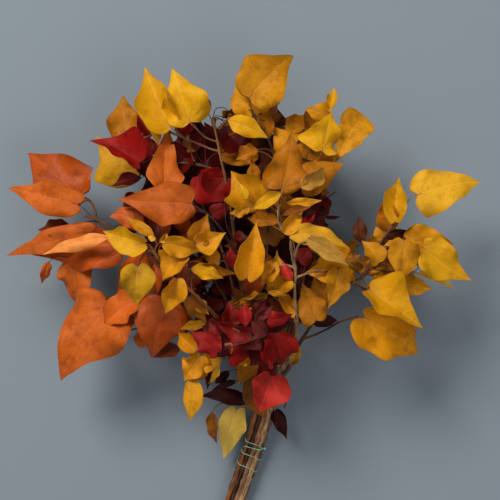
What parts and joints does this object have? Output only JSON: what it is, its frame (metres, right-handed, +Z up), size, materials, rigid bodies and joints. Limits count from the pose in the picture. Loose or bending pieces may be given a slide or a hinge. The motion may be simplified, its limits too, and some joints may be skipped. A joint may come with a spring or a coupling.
{
  "type": "autumn leaf bunch",
  "caption": "Bunch of dried ivy branches in gold, orange and red autumn colours, tied low down with thin string and lying on a surface.",
  "frame": {"origin": "middle of the bunch's box, on the surface that it lies on", "axes": "+Z up, away from the surface; +Y from the cut ends of the stems towards the head of leaves; +X to the right as seen from above"},
  "size_m": [0.4806, 0.5158, 0.1839],
  "materials": {
    "gold_leaves": "dried leaf, satin",
    "orange_leaves": "dried leaf, satin to glossy",
    "red_leaves": "dried leaf, satin",
    "string": "twisted thread"
  },
  "bodies": {
    "root": {"gold_stem_1": "gold_leaves", "gold_stem_2": "gold_leaves", "gold_stem_3": "gold_leaves", "gold_stem_4": "gold_leaves", "gold_stem_5": "gold_leaves", "gold_stem_6": "gold_leaves", "gold_stem_7": "gold_leaves", "orange_stem_1": "orange_leaves", "orange_stem_2": "orange_leaves", "orange_stem_3": "orange_leaves", "red_stem_1": "red_leaves", "red_stem_2": "red_leaves", "red_stem_3": "red_leaves", "red_stem_4": "red_leaves", "red_stem_5": "red_leaves", "red_stem_6": "red_leaves", "tie_string": "string"}
  },
  "joints": []
}
